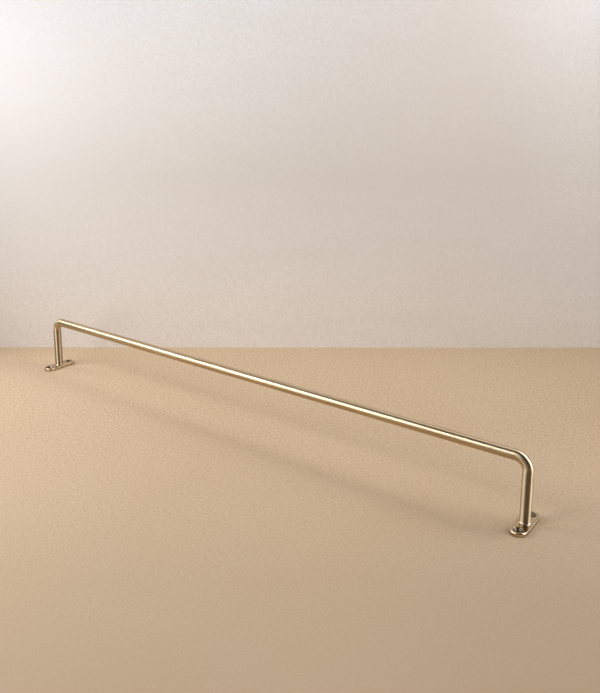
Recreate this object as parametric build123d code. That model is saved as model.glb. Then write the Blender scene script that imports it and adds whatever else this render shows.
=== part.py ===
from build123d import *
import os

# A wall-mounted towel rail. One round brass rod is bent twice at right angles, so that it is a long
# bar with a short leg at each end. Each leg passes through a small round-ended wall plate and is
# brazed into it, with a hollow ring of braze metal round its foot. The plate lies across the bar and
# has a countersunk screw hole on each side of the leg.
#
# Millimetres. The wall is the plane z = 0, +Z points away from it and +X runs along the bar. The
# origin is on the wall, midway between the legs.

# The rod
ROD_DIAMETER = 10.0
LEG_SPACING = 650.0  # from the axis of one leg to the axis of the other
BAR_STANDOFF = 63.5  # from the wall to the axis of the bar
BEND_RADIUS = 12.0  # at the rod's axis

# The wall plates
PLATE_LENGTH = 44.0  # across the bar
PLATE_WIDTH = 15.5  # along the bar
PLATE_THICKNESS = 3.5
PLATE_RIM_ROUND = 1.1  # the polished edge of the front face
PLATE_BACK_BEVEL = 0.2  # the broken edge of the face on the wall

# The screw holes, one on each side of the leg
SCREW_SPACING = 31.0
SCREW_HOLE_DIAMETER = 4.5
COUNTERSINK_DIAMETER = 9.0
COUNTERSINK_ANGLE = 90.0
MOUTH_BEVEL = 0.15  # the softened edge where a countersink meets the front face

# The ring of braze metal round each foot
BRAZE_REACH = 1.2  # how far it runs out over the plate and up the leg
BRAZE_HOLLOW = 0.40  # where its face crosses the diagonal: 0.5 is flat, 0.29 a full quarter round


def rail_rod():
    """The bent rod: a leg, a bend, the bar, a bend and a leg, with both ends flush with the wall."""
    half_spacing = LEG_SPACING / 2
    axis_line = FilletPolyline(
        (-half_spacing, 0, 0),
        (-half_spacing, 0, BAR_STANDOFF),
        (half_spacing, 0, BAR_STANDOFF),
        (half_spacing, 0, 0),
        radius=BEND_RADIUS,
    )
    section = Pos(-half_spacing, 0, 0) * Circle(ROD_DIAMETER / 2)
    return sweep(section, path=axis_line)


def base_plate(leg_x):
    """A wall plate round the leg at leg_x, with its bore for the rod and its two screw holes."""
    plate = extrude(SlotOverall(PLATE_LENGTH, PLATE_WIDTH, rotation=90), PLATE_THICKNESS)
    plate = fillet(plate.faces().sort_by(Axis.Z)[-1].edges(), PLATE_RIM_ROUND)
    plate = chamfer(plate.faces().sort_by(Axis.Z)[0].edges(), PLATE_BACK_BEVEL)
    plate -= Cylinder(ROD_DIAMETER / 2, PLATE_THICKNESS, align=(Align.CENTER, Align.CENTER, Align.MIN))
    for side in (-1, 1):
        plate -= Pos(0, side * SCREW_SPACING / 2, PLATE_THICKNESS) * CounterSinkHole(
            radius=SCREW_HOLE_DIAMETER / 2,
            counter_sink_radius=COUNTERSINK_DIAMETER / 2,
            depth=PLATE_THICKNESS,
            counter_sink_angle=COUNTERSINK_ANGLE,
        )
    mouths = plate.faces().sort_by(Axis.Z)[-1].edges().filter_by(GeomType.CIRCLE)
    mouths = [edge for edge in mouths if abs(edge.radius - COUNTERSINK_DIAMETER / 2) < MOUTH_BEVEL]
    plate = chamfer(mouths, MOUTH_BEVEL)
    return Pos(leg_x, 0, 0) * plate


def braze_fillet(leg_x):
    """The hollow ring of braze metal between the leg at leg_x and the front of its plate."""
    inner = ROD_DIAMETER / 2
    outer = inner + BRAZE_REACH
    foot = PLATE_THICKNESS
    top = foot + BRAZE_REACH
    waist = BRAZE_REACH * BRAZE_HOLLOW
    outline = (
        Line((inner, foot), (outer, foot))
        + ThreePointArc((outer, foot), (inner + waist, foot + waist), (inner, top))
        + Line((inner, top), (inner, foot))
    )
    ring = revolve(Plane.XZ * make_face(outline), axis=Axis.Z)
    return Pos(leg_x, 0, 0) * ring


left_x = -LEG_SPACING / 2
right_x = LEG_SPACING / 2

nodes = {
    "rail_rod": rail_rod(),
    "left_base_plate": base_plate(left_x),
    "right_base_plate": base_plate(right_x),
    "left_braze_fillet": braze_fillet(left_x),
    "right_braze_fillet": braze_fillet(right_x),
}

os.makedirs("parts", exist_ok=True)
for name, solid in nodes.items():
    export_step(solid, "parts/" + name + ".step")
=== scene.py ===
import math

import bmesh
import bpy
from mathutils import Matrix, Vector, noise


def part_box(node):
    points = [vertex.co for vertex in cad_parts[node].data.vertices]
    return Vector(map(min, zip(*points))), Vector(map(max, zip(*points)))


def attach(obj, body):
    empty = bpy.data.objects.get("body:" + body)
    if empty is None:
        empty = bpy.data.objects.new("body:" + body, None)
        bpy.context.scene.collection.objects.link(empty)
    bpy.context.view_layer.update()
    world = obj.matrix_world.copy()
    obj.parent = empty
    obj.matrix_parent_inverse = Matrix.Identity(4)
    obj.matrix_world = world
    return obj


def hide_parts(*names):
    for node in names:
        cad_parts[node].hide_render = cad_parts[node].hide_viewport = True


# A brass towel rail on tan paper before a pale wall, with panels of soft light on both sides. Metres.
# The wall plates lie on z = 0, +X runs along the bar and the origin is midway between the legs.

MM = 0.001

# The rail, as part.py has it
ROD_RADIUS = 5.0 * MM
BEND_RADIUS = 12.0 * MM
PLATE_THICKNESS = 3.5 * MM
LEG_X = 325.0 * MM
SCREW_OFFSET = 15.5 * MM
COUNTERSINK_RADIUS = 4.5 * MM
BRAZE_REACH = 1.2 * MM
BRAZE_HOLLOW = 0.40

# How finely the rod and the braze rings are meshed, and how far a ring sinks into its neighbours
ROD_SIDES = 80
BAR_STEP = 2.5 * MM
BEND_STEPS = 26
RING_SIDES = 96
RING_STEPS = 10
RING_SUNK = 0.05 * MM

# How a braze ring's reach varies round the rod, as a share of BRAZE_REACH, and each ring's own seed
REACH_SHARE = 0.90
REACH_SWAY = 0.16
SWAY_SCALE = 1.3
RING_SEEDS = {"left": 3.1, "right": 7.7}

# The camera, over CAMERA_FOOT, looks along FORWARD and is turned down by PITCH
CAMERA_FOOT = Vector((0.5510, -0.6336, 0.0))
CAMERA_HEIGHT = 0.3871
HEADING = math.radians(36.72)
PITCH = math.radians(11.84)
ROLL = math.radians(0.18)
SENSOR = 36.0
FRAME_HEIGHT = 693
FOCAL_PIXELS = 808.85
SHIFT_PIXELS = -103.5

RIGHT = Vector((math.cos(HEADING), math.sin(HEADING), 0))
FORWARD = Vector((-math.sin(HEADING), math.cos(HEADING), 0))
UP = Vector((0, 0, 1))

# The studio, measured from CAMERA_FOOT: to the right, forward and up
LAMP_DISTANCE = 0.60
LEFT_SIDE = -1
RIGHT_SIDE = 1
BACKDROP_FORWARD = 1.112
BACKDROP_TURN = math.radians(0.5)
STAGE_HALF_WIDTH = 3.0
STAGE_HEIGHT = 2.4
STAGE_DROP = 0.1 * MM
WORLD_STRENGTH = 0.05
LAMP_COLOUR = (0.95, 1.0, 1.12)

# The numbers of the Mix node's two colour inputs, and the samples of the nodes that look around a point
MIX_FIRST = 6
MIX_SECOND = 7
LOOK_SAMPLES = 6

# The seam between floor and wall along FORWARD, and the middle of the studio along RIGHT
SEAM = BACKDROP_FORWARD + CAMERA_FOOT.dot(FORWARD)
MIDDLE = CAMERA_FOOT.dot(RIGHT)

# Pale brass, where it is clean, toned and worn; a dark colour for specks on the rod and for painted shade in
# the plates' recesses; a near-black for painted shade in the screw holes and the braze's hollow; and the
# braze
BRASS_CLEAN = (0.605, 0.47, 0.295, 1)
BRASS_TONED = (0.525, 0.39, 0.225, 1)
BRASS_WORN = (0.70, 0.57, 0.39, 1)
BRASS_SPECKS_AND_SHADE = (0.26, 0.18, 0.095, 1)
BRASS_HOLE_SHADE = (0.11, 0.08, 0.05, 1)
BRAZE_SILVER = (0.50, 0.41, 0.29, 1)

# How rough the rod is along the bar, on the legs and in the bends, and how rough a screw hole is
BAR_ROUGHNESS = 0.29
LEG_ROUGHNESS = 0.54
BEND_ROUGHNESS = 0.28
SINK_ROUGHNESS = 0.30

# The papers of the stage. PAPER_DARK_SHARE is how far the floor leans from light to dark between grains
PAPER_DARK_SHARE = 0.33
PAPER_LIGHT = (0.675, 0.51, 0.34, 1)
PAPER_DARK = (0.445, 0.272, 0.12, 1)
# The far paper colour is painted light: the floor near the wall, lit brighter
PAPER_FAR_PAINTED_LIGHT = (0.74, 0.58, 0.38, 1)
# The wall's low, middle and high colours paint its light from foot to top, the shade colour paints shade and
# also the paper's random mottle, and the corner colour paints shade in the upper left corner
WALL_LOW = (0.825, 0.745, 0.635, 1)
WALL_MIDDLE = (0.655, 0.60, 0.515, 1)
WALL_HIGH = (0.765, 0.745, 0.69, 1)
WALL_SHADE_AND_MOTTLE = (0.62, 0.51, 0.41, 1)
WALL_CORNER_SHADE = (0.53, 0.52, 0.49, 1)


def studio_point(right, forward, up):
    return CAMERA_FOOT + RIGHT * right + FORWARD * forward + UP * up


def link(obj):
    bpy.context.scene.collection.objects.link(obj)
    return obj


def dressed(bm, name, material):
    """The finished mesh as a linked object in its material."""
    bmesh.ops.recalc_face_normals(bm, faces=bm.faces)
    mesh = bpy.data.meshes.new(name)
    bm.to_mesh(mesh)
    bm.free()
    mesh.materials.append(material)
    return link(bpy.data.objects.new(name, mesh))


class Nodes:
    """A material's node tree, with short calls that make a node and wire its inputs."""

    def __init__(self, name):
        self.material = bpy.data.materials.new(name)
        self.material.use_nodes = True
        self.tree = self.material.node_tree
        self.tree.nodes.clear()

    def put(self, socket, value):
        if isinstance(value, bpy.types.NodeSocket):
            self.tree.links.new(value, socket)
        else:
            socket.default_value = value

    def add(self, kind, inputs=None, **settings):
        node = self.tree.nodes.new(kind)
        for key, value in settings.items():
            setattr(node, key, value)
        for key, value in (inputs or {}).items():
            self.put(node.inputs[key], value)
        return node

    def attribute(self, name, output="Vector"):
        return self.add("ShaderNodeAttribute", attribute_name=name).outputs[output]

    def object_space(self):
        return self.add("ShaderNodeTexCoord").outputs["Object"]

    def axis(self, vector, name):
        return self.add("ShaderNodeSeparateXYZ", {0: vector}).outputs[name]

    def vector_math(self, operation, *vectors):
        return self.add("ShaderNodeVectorMath", dict(enumerate(vectors)), operation=operation)

    def dot(self, first, second):
        return self.vector_math("DOT_PRODUCT", first, second).outputs["Value"]

    def stretch(self, vector, scale):
        return self.add("ShaderNodeMapping", {"Vector": vector, "Scale": scale}).outputs["Vector"]

    def noise(self, vector, scale, detail=3.0, roughness=0.55, distortion=0.0):
        settings = {"Vector": vector, "Scale": scale, "Detail": detail, "Roughness": roughness}
        settings["Distortion"] = distortion
        return self.add("ShaderNodeTexNoise", settings).outputs["Fac"]

    def span(self, value, low, high, new_low, new_high, smooth=False):
        """The value as it runs from low to high, turned to run from new_low to new_high."""
        inputs = {"Value": value, "From Min": low, "From Max": high, "To Min": new_low, "To Max": new_high}
        kind = "SMOOTHSTEP" if smooth else "LINEAR"
        return self.add("ShaderNodeMapRange", inputs, interpolation_type=kind).outputs["Result"]

    def rise(self, value, start, end):
        """0 up to start and 1 from end on."""
        return self.span(value, start, end, 0.0, 1.0)

    def vary(self, noisy, low, high):
        """A noise, most of which lies between 0.3 and 0.7, turned to run from low to high."""
        return self.span(noisy, 0.3, 0.7, low, high)

    def math(self, operation, first, second):
        return self.add("ShaderNodeMath", {0: first, 1: second}, operation=operation).outputs[0]

    def times(self, first, second):
        return self.math("MULTIPLY", first, second)

    def remainder(self, share):
        """What a share leaves of 1."""
        return self.math("SUBTRACT", 1.0, share)

    def blend(self, factor, first, second, mode="MIX"):
        node = self.add("ShaderNodeMix", {"Factor": factor}, data_type="RGBA", blend_type=mode)
        self.put(node.inputs[MIX_FIRST], first)
        self.put(node.inputs[MIX_SECOND], second)
        return node.outputs[2]

    def bump(self, height, distance, normal=None):
        inputs = {"Height": height, "Distance": distance, "Strength": 1.0}
        if normal is not None:
            inputs["Normal"] = normal
        return self.add("ShaderNodeBump", inputs).outputs["Normal"]

    def rounded(self, radius):
        """The normal, as if the edges were rounded."""
        return self.add("ShaderNodeBevel", {"Radius": radius}, samples=LOOK_SAMPLES).outputs["Normal"]

    def edge(self, radius):
        """1 on the edges of a form and 0 on its faces."""
        plain = self.add("ShaderNodeNewGeometry").outputs["Normal"]
        return self.span(self.dot(self.rounded(radius), plain), 0.995, 0.90, 0.0, 1.0, smooth=True)

    def recess(self, distance):
        """1 deep in a hollow and 0 in the open, by ambient occlusion; it places painted shade."""
        around = self.add("ShaderNodeAmbientOcclusion", {"Distance": distance}, samples=LOOK_SAMPLES)
        return self.span(around.outputs["AO"], 0.75, 0.15, 0.0, 1.0, smooth=True)

    def one_sided(self, shader):
        """The shader on a sheet's face, and clear from behind, so that the stage never hides the rail."""
        behind = self.add("ShaderNodeNewGeometry").outputs["Backfacing"]
        clear = self.add("ShaderNodeBsdfTransparent").outputs[0]
        return self.add("ShaderNodeMixShader", {0: behind, 1: shader.outputs[0], 2: clear})

    def principled(self, inputs):
        return self.add("ShaderNodeBsdfPrincipled", inputs)

    def output(self, shader):
        out = self.add("ShaderNodeOutputMaterial")
        self.tree.links.new(shader.outputs[0], out.inputs["Surface"])
        return self.material


# Camera and light


def make_camera():
    data = bpy.data.cameras.new("camera")
    data.sensor_width = SENSOR
    data.lens = SENSOR * FOCAL_PIXELS / FRAME_HEIGHT
    data.shift_y = SHIFT_PIXELS / FRAME_HEIGHT
    camera = link(bpy.data.objects.new("camera", data))
    gaze = FORWARD * math.cos(PITCH) - UP * math.sin(PITCH)
    lift = FORWARD * math.sin(PITCH) + UP * math.cos(PITCH)
    picture_right = RIGHT * math.cos(ROLL) + lift * math.sin(ROLL)
    picture_up = lift * math.cos(ROLL) - RIGHT * math.sin(ROLL)
    turn = Matrix((picture_right, picture_up, -gaze)).transposed()
    camera.matrix_world = Matrix.Translation(CAMERA_FOOT + UP * CAMERA_HEIGHT) @ turn.to_4x4()
    bpy.context.scene.camera = camera


def soft_panel(name, middle, facing, width, height, radiance):
    """One upright panel of soft light, with the radiance it shows to the rail."""
    data = bpy.data.lights.new(name, "AREA")
    data.shape = "RECTANGLE"
    data.size = width
    data.size_y = height
    data.energy = math.pi * width * height * radiance
    data.color = LAMP_COLOUR
    lamp = link(bpy.data.objects.new(name, data))
    turn = Matrix((UP.cross(-facing), UP, -facing)).transposed()
    lamp.matrix_world = Matrix.Translation(middle) @ turn.to_4x4()
    lamp.visible_camera = False


def side_panel(name, side, near, far, low, high, radiance):
    """A panel beside the stage, parallel to the view, that reaches from near to far and from low to high."""
    middle = studio_point(side * LAMP_DISTANCE, (near + far) / 2, (low + high) / 2)
    soft_panel(name, middle, RIGHT * -side, far - near, high - low, radiance)


def make_light():
    # Each side panel has its near and far end, its low and high edge, and the radiance it shows
    side_panel("left near, top", LEFT_SIDE, 0.18, 0.36, 0.55, 1.20, radiance=9.9)
    side_panel("left near, middle", LEFT_SIDE, 0.18, 0.54, 0.35, 0.55, radiance=2.9)
    side_panel("left near, low", LEFT_SIDE, 0.36, 0.54, 0.10, 0.35, radiance=8.4)
    side_panel("left middle", LEFT_SIDE, 0.54, 0.72, 0.35, 0.80, radiance=2.1)
    side_panel("left middle, low", LEFT_SIDE, 0.58, 0.72, 0.20, 0.35, radiance=4.2)
    side_panel("left foot", LEFT_SIDE, 0.54, 0.72, 0.01, 0.20, radiance=3.6)
    side_panel("left far, middle", LEFT_SIDE, 0.72, 0.97, 0.35, 0.55, radiance=13.0)
    side_panel("left far, low", LEFT_SIDE, 0.72, 0.97, 0.20, 0.35, radiance=4.8)
    side_panel("right near, foot", RIGHT_SIDE, 0.36, 0.54, 0.01, 0.10, radiance=8.5)
    side_panel("right near", RIGHT_SIDE, 0.36, 0.54, 0.10, 0.70, radiance=3.4)
    side_panel("right middle, low", RIGHT_SIDE, 0.54, 0.72, 0.10, 0.40, radiance=2.6)
    side_panel("right middle", RIGHT_SIDE, 0.54, 0.90, 0.40, 0.60, radiance=4.7)
    side_panel("right foot, far", RIGHT_SIDE, 0.54, 0.80, 0.01, 0.10, radiance=3.0)
    side_panel("right corner", RIGHT_SIDE, 0.98, 1.10, 0.01, 0.30, radiance=1.7)
    side_panel("right far, top", RIGHT_SIDE, 0.72, 0.95, 0.60, 1.20, radiance=11.0)
    by_the_wall = studio_point(-0.53, 1.09, 0.28)
    soft_panel("left corner", by_the_wall, -FORWARD, width=0.16, height=0.30, radiance=5.0)
    world = bpy.data.worlds.new("studio")
    world.use_nodes = True
    background = world.node_tree.nodes["Background"]
    background.inputs["Color"].default_value = (1, 1, 1, 1)
    background.inputs["Strength"].default_value = WORLD_STRENGTH
    bpy.context.scene.world = world


# The stage


def paper_floor():
    """Tan paper, finely grained near the camera and coarser toward the wall, with painted light brighter
    toward the wall and painted shade on the left and on the right near the camera.

    Distances ahead are set out from the seam and distances across from the middle, in metres.
    """
    n = Nodes("tan paper")
    place = n.object_space()
    ahead = n.dot(place, FORWARD)
    across = n.dot(place, RIGHT)
    back = n.rise(ahead, SEAM - 0.70, SEAM)
    fine = n.noise(place, scale=800, detail=2.0, roughness=0.6)
    coarse = n.noise(place, scale=400, detail=2.0, roughness=0.6)
    grain = n.math("ADD", n.times(coarse, back), n.times(fine, n.remainder(back)))
    contrast = n.span(back, 0.0, 1.0, 0.10, 2.0)
    contrast = n.times(contrast, n.span(ahead, SEAM, SEAM + 0.02, 1.0, 0.2))
    swing = n.times(n.vary(grain, -0.5, 0.5), contrast)
    tone = n.blend(n.math("ADD", swing, PAPER_DARK_SHARE), PAPER_LIGHT, PAPER_DARK)
    # Painted light: the paper is multiplied brighter toward the wall, with painted shade on the left and on
    # the right near the camera
    light = n.span(ahead, SEAM - 0.55, SEAM, 0.85, 1.08)
    left_light = n.span(across, MIDDLE - 0.32, MIDDLE + 0.05, 0.87, 0.99)
    left_light = n.span(ahead, SEAM - 0.10, SEAM - 0.03, left_light, 0.975)
    right_shade = n.span(across, MIDDLE, MIDDLE + 0.25, 0.0, 0.17)
    right_shade = n.times(right_shade, n.span(ahead, SEAM - 0.58, SEAM - 0.38, 1.0, 0.1))
    light = n.times(n.times(light, n.remainder(right_shade)), left_light)
    tone = n.blend(1.0, tone, light, "MULTIPLY")
    cloud = n.noise(place, scale=6, detail=3.0, roughness=0.5)
    tone = n.blend(n.vary(cloud, 0.0, 0.14), tone, PAPER_DARK)
    # Painted light: paler still close to the seam
    tone = n.blend(n.span(ahead, SEAM - 0.30, SEAM, 0.0, 0.30, smooth=True), tone, PAPER_FAR_PAINTED_LIGHT)
    inputs = {
        "Base Color": tone,
        "Roughness": 0.92,
        "Specular IOR Level": 0.15,
        "Normal": n.bump(grain, 0.15 * MM),
    }
    return n.output(n.one_sided(n.principled(inputs)))


def paper_backdrop():
    """A pale wall with painted light, warm at its foot and paler at the top, painted shade right of the
    middle and greyer in the upper left corner, a painted lighter strip on the right edge, and faint level
    clouding.
    """
    n = Nodes("pale backdrop")
    place = n.object_space()
    height = n.axis(place, "Z")
    across = n.dot(place, RIGHT)
    # Painted light: warm at the foot, darker in the middle and paler at the top
    tone = n.blend(n.rise(height, 0.0, 0.25), WALL_LOW, WALL_MIDDLE)
    tone = n.blend(n.rise(height, 0.25, 0.50), tone, WALL_HIGH)
    # Painted shade right of the middle, stronger higher up and fading at the right edge
    shade = n.rise(across, MIDDLE - 0.05, MIDDLE + 0.2)
    shade = n.math("SUBTRACT", shade, n.span(across, MIDDLE + 0.25, MIDDLE + 0.42, 0.0, 0.95))
    shade = n.times(shade, n.span(height, 0.15, 0.45, 0.22, 0.5))
    tone = n.blend(shade, tone, WALL_SHADE_AND_MOTTLE)
    # Painted light: a lighter strip on the right edge at middle height
    pale = n.span(across, MIDDLE + 0.30, MIDDLE + 0.43, 0.0, 0.6)
    pale = n.times(pale, n.rise(height, 0.14, 0.22))
    pale = n.times(pale, n.span(height, 0.38, 0.46, 1.0, 0.0))
    tone = n.blend(pale, tone, WALL_LOW)
    # Painted shade: greyer in the upper left corner
    corner = n.span(across, MIDDLE - 0.15, MIDDLE - 0.42, 0.0, 0.62)
    corner = n.times(corner, n.rise(height, 0.10, 0.28))
    tone = n.blend(corner, tone, WALL_CORNER_SHADE)
    # The paper's own faint level clouding and fine grain, in the shade colour
    level = n.stretch(place, (2.0, 2.0, 9.0))
    cloud = n.noise(level, scale=4.0, detail=4.0, roughness=0.55, distortion=0.8)
    tone = n.blend(n.span(cloud, 0.35, 0.65, 0.0, 0.11), tone, WALL_SHADE_AND_MOTTLE)
    grain = n.noise(place, scale=300, detail=2.0, roughness=0.6)
    tone = n.blend(n.vary(grain, 0.0, 0.46), tone, WALL_SHADE_AND_MOTTLE)
    inputs = {"Base Color": tone, "Roughness": 0.95, "Specular IOR Level": 0.1}
    return n.output(n.one_sided(n.principled(inputs)))


def sheet(name, corners, material):
    mesh = bpy.data.meshes.new(name)
    mesh.from_pydata([tuple(corner) for corner in corners], [], [(0, 1, 2, 3)])
    mesh.materials.append(material)
    link(bpy.data.objects.new(name, mesh))


def make_stage():
    half = STAGE_HALF_WIDTH
    skew = half * math.tan(BACKDROP_TURN)
    near_left = studio_point(-half, -half, -STAGE_DROP)
    near_right = studio_point(half, -half, -STAGE_DROP)
    far_right = studio_point(half, half, -STAGE_DROP)
    far_left = studio_point(-half, half, -STAGE_DROP)
    sheet("floor", (near_left, near_right, far_right, far_left), paper_floor())
    wall_right = studio_point(half, BACKDROP_FORWARD + skew, -STAGE_DROP)
    wall_left = studio_point(-half, BACKDROP_FORWARD - skew, -STAGE_DROP)
    top = UP * STAGE_HEIGHT
    sheet("backdrop", (wall_left, wall_right, wall_right + top, wall_left + top), paper_backdrop())


# Brass


def rod_brass():
    """Polished round the rod, so that its highlights smear along it, most on the legs."""
    n = Nodes("rod brass")
    place = n.attribute("rod_space")
    leg = n.attribute("leg", "Fac")
    tangent = n.add("ShaderNodeTangent", direction_type="UV_MAP", uv_map="rod").outputs[0]
    toning = n.noise(n.stretch(place, (1.0, 4.0, 4.0)), scale=16, detail=4.0, roughness=0.6, distortion=0.4)
    tone = n.blend(n.span(toning, 0.35, 0.72, 0.0, 0.7), BRASS_CLEAN, BRASS_TONED)
    rings = n.noise(n.stretch(place, (60.0, 2.5, 2.5)), scale=60, detail=3.0, roughness=0.7)
    tone = n.blend(n.span(rings, 0.4, 0.8, 0.0, 0.12), tone, BRASS_TONED)
    specks = n.noise(place, scale=900, detail=2.0, roughness=0.5)
    tone = n.blend(n.span(specks, 0.70, 0.78, 0.0, 0.35), tone, BRASS_SPECKS_AND_SHADE)
    smudge = n.noise(n.stretch(place, (1.0, 2.0, 2.0)), scale=35, detail=3.0, roughness=0.6)
    finish = n.span(leg, 0.0, 1.0, BAR_ROUGHNESS, LEG_ROUGHNESS)
    finish = n.math("ADD", finish, n.vary(smudge, -0.015, 0.025))
    bend = n.times(n.times(leg, 4.0), n.remainder(leg))
    finish = n.span(bend, 0.0, 1.0, finish, BEND_ROUGHNESS)
    inputs = {
        "Base Color": tone,
        "Metallic": 1.0,
        "Roughness": finish,
        "Anisotropic": 1.0,
        "Tangent": tangent,
        "Normal": n.bump(rings, 0.004 * MM),
    }
    return n.output(n.principled(inputs))


def countersinks(n, place):
    """1 within a countersink's radius of a screw's axis, and 0 elsewhere."""
    folded = n.vector_math("ABSOLUTE", place).outputs["Vector"]
    from_screw = n.vector_math("SUBTRACT", folded, (LEG_X, SCREW_OFFSET, 0)).outputs["Vector"]
    flat = n.vector_math("MULTIPLY", from_screw, (1, 1, 0)).outputs["Vector"]
    distance = n.vector_math("LENGTH", flat).outputs["Value"]
    return n.span(distance, COUNTERSINK_RADIUS - 0.3 * MM, COUNTERSINK_RADIUS, 1.0, 0.0)


def plate_brass():
    """Polished along the plate, bright on its edges, with painted shade in its hollows and screw holes."""
    n = Nodes("plate brass")
    place = n.object_space()
    toning = n.noise(place, scale=130, detail=4.0, roughness=0.6, distortion=0.3)
    tone = n.blend(n.span(toning, 0.35, 0.7, 0.0, 0.8), BRASS_CLEAN, BRASS_TONED)
    # Painted shade: the plate darkens in its hollows, by the rod and in the holes
    tone = n.blend(n.times(n.recess(3.0 * MM), 0.75), tone, BRASS_SPECKS_AND_SHADE)
    tilt = n.axis(n.add("ShaderNodeNewGeometry").outputs["Normal"], "Z")
    rim = n.times(n.rise(tilt, 0.10, 0.40), n.rise(tilt, 0.98, 0.90))
    worn = n.math("MAXIMUM", rim, n.edge(0.35 * MM))
    tone = n.blend(n.times(worn, 0.9), tone, BRASS_WORN)
    sink = countersinks(n, place)
    # Painted shade: the screw holes are darkened nearly to black
    tone = n.blend(n.times(sink, 0.92), tone, BRASS_HOLE_SHADE)
    finish = n.vary(n.noise(place, scale=420, detail=3.0, roughness=0.6), 0.15, 0.24)
    finish = n.span(sink, 0.0, 1.0, finish, SINK_ROUGHNESS)
    lines = n.noise(n.stretch(place, (12.0, 1.0, 4.0)), scale=260, detail=4.0, roughness=0.7)
    inputs = {
        "Base Color": tone,
        "Metallic": 1.0,
        "Roughness": finish,
        "Normal": n.bump(lines, 0.006 * MM, n.rounded(0.2 * MM)),
    }
    return n.output(n.principled(inputs))


def braze_metal():
    """Braze metal, cleaned by hand: a little greyer than the rod, rippled, and with painted shade in its
    hollow.
    """
    n = Nodes("braze metal")
    place = n.object_space()
    toning = n.noise(place, scale=500, detail=4.0, roughness=0.6)
    tone = n.blend(n.rise(toning, 0.35, 0.7), BRAZE_SILVER, BRASS_TONED)
    # Painted shade in the ring's hollow, by ambient occlusion
    tone = n.blend(n.times(n.recess(2.0 * MM), 0.85), tone, BRASS_HOLE_SHADE)
    ripple = n.noise(place, scale=900, detail=3.0, roughness=0.6)
    inputs = {
        "Base Color": tone,
        "Metallic": 1.0,
        "Roughness": n.vary(ripple, 0.22, 0.34),
        "Normal": n.bump(ripple, 0.03 * MM),
    }
    return n.output(n.principled(inputs))


# The rod


def rod_line(half, top):
    """The rod's centreline from the foot of the left leg: each point, the way on, and its leg share."""
    bend = BEND_RADIUS
    line = []
    leg_steps = round((top - bend) / BAR_STEP)
    for i in range(leg_steps):
        line.append((Vector((-half, 0, (top - bend) * i / leg_steps)), UP, 1.0))
    for i in range(BEND_STEPS):
        angle = math.pi / 2 * i / BEND_STEPS
        out = Vector((-math.cos(angle), 0, math.sin(angle)))
        ahead = Vector((math.sin(angle), 0, math.cos(angle)))
        line.append((Vector((bend - half, 0, top - bend)) + out * bend, ahead, 1.0 - i / BEND_STEPS))
    left_end = list(line)
    bar_steps = round(2 * (half - bend) / BAR_STEP)
    for i in range(bar_steps + 1):
        x = (half - bend) * (2 * i / bar_steps - 1)
        line.append((Vector((x, 0, top)), Vector((1, 0, 0)), 0.0))
    for place, ahead, leg in reversed(left_end):
        line.append((Vector((-place.x, 0, place.z)), Vector((ahead.x, 0, -ahead.z)), leg))
    return line


def rod_rings(bm, line):
    """A ring of vertices round each point of the line, and how far along the rod each ring stands."""
    space = bm.verts.layers.float_vector.new("rod_space")
    leg_share = bm.verts.layers.float.new("leg")
    side = Vector((0, 1, 0))
    rings, runs = [], []
    run = 0.0
    for i, (place, ahead, leg) in enumerate(line):
        if i:
            run += (place - line[i - 1][0]).length
        out = side.cross(ahead)
        ring = []
        for j in range(ROD_SIDES):
            angle = 2 * math.pi * j / ROD_SIDES
            vert = bm.verts.new(place + (out * math.cos(angle) + side * math.sin(angle)) * ROD_RADIUS)
            vert[space] = Vector((run, math.cos(angle) * ROD_RADIUS, math.sin(angle) * ROD_RADIUS))
            vert[leg_share] = leg
            ring.append(vert)
        rings.append(ring)
        runs.append(run)
    return rings, runs


def make_rod():
    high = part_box("rail_rod")[1]
    bm = bmesh.new()
    uv = bm.loops.layers.uv.new("rod")
    rings, runs = rod_rings(bm, rod_line(high.x - ROD_RADIUS, high.z - ROD_RADIUS))
    for i in range(len(rings) - 1):
        ring, after = rings[i], rings[i + 1]
        along = (runs[i], runs[i + 1], runs[i + 1], runs[i])
        for j in range(ROD_SIDES):
            k = (j + 1) % ROD_SIDES
            face = bm.faces.new((ring[j], after[j], after[k], ring[k]))
            face.smooth = True
            around = [step * 2 * math.pi * ROD_RADIUS / ROD_SIDES for step in (j, j, j + 1, j + 1)]
            for loop, u, v in zip(face.loops, along, around):
                loop[uv].uv = (u, v)
    for ring in (rings[0], rings[-1]):
        bm.faces.new(ring)
    rod = dressed(bm, "polished_rod", rod_brass())
    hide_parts("rail_rod")
    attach(rod, "root")


# The braze rings


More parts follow.
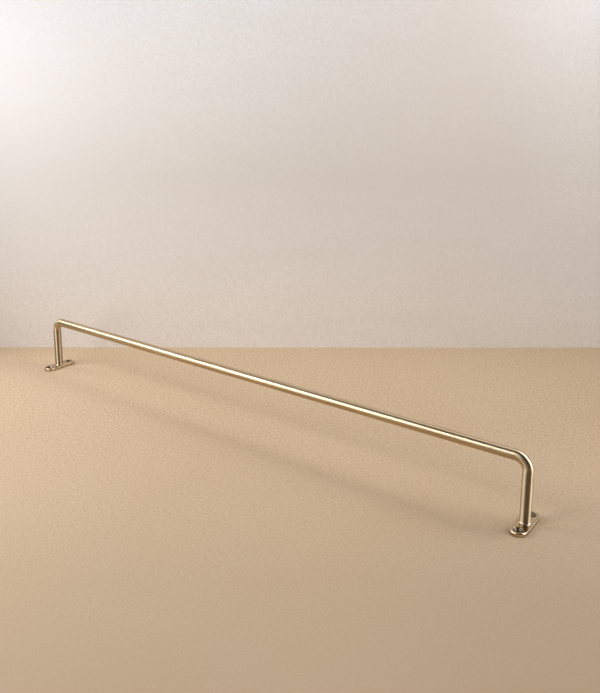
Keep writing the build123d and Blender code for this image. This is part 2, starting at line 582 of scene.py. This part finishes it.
def ring_profile(reach):
    """The hollow face of a braze ring, from its rim on the plate to its lip on the rod."""
    points = []
    waist = reach * BRAZE_HOLLOW
    pull = 2 * waist - reach / 2
    for i in range(RING_STEPS + 1):
        t = i / RING_STEPS
        shared = 2 * t * (1 - t) * pull
        points.append(((1 - t) ** 2 * reach + shared, t ** 2 * reach + shared))
    return points


def make_braze_ring(name, replaced, leg_x, seed, material):
    """A braze ring whose reach varies a little round the rod, as hand-run metal does."""
    bm = bmesh.new()
    columns = []
    for j in range(RING_SIDES):
        angle = 2 * math.pi * j / RING_SIDES
        out = Vector((math.cos(angle), math.sin(angle), 0))
        sway = noise.noise(out * SWAY_SCALE + Vector((seed, 0, 0)))
        reach = BRAZE_REACH * (REACH_SHARE + REACH_SWAY * sway)
        underside = [(-RING_SUNK, -RING_SUNK), (reach, -RING_SUNK)]
        column = []
        for width, height in underside + ring_profile(reach) + [(-RING_SUNK, reach)]:
            point = Vector((leg_x, 0, 0)) + out * (ROD_RADIUS + width) + UP * (PLATE_THICKNESS + height)
            column.append(bm.verts.new(point))
        columns.append(column)
    for j in range(RING_SIDES):
        here, there = columns[j], columns[(j + 1) % RING_SIDES]
        for i in range(len(here)):
            k = (i + 1) % len(here)
            face = bm.faces.new((here[i], there[i], there[k], here[k]))
            face.smooth = len(underside) <= i < len(underside) + RING_STEPS
    ring = dressed(bm, name, material)
    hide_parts(replaced)
    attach(ring, "root")


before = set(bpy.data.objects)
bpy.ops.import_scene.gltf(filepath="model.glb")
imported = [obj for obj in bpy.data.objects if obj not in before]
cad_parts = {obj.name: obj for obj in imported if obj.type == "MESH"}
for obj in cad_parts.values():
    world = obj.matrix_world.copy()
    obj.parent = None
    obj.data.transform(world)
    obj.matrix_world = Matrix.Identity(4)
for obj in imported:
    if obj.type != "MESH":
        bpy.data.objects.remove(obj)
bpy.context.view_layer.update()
bpy.context.scene.view_settings.view_transform = "Standard"
make_camera()
make_light()
make_stage()
make_rod()
braze = braze_metal()
brass = plate_brass()
for hand, seed in RING_SEEDS.items():
    plate_low, plate_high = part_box(hand + "_base_plate")
    leg_x = (plate_low.x + plate_high.x) / 2
    make_braze_ring(hand + "_braze_ring", hand + "_braze_fillet", leg_x, seed, braze)
    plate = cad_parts[hand + "_base_plate"]
    plate.data.materials.clear()
    plate.data.materials.append(brass)
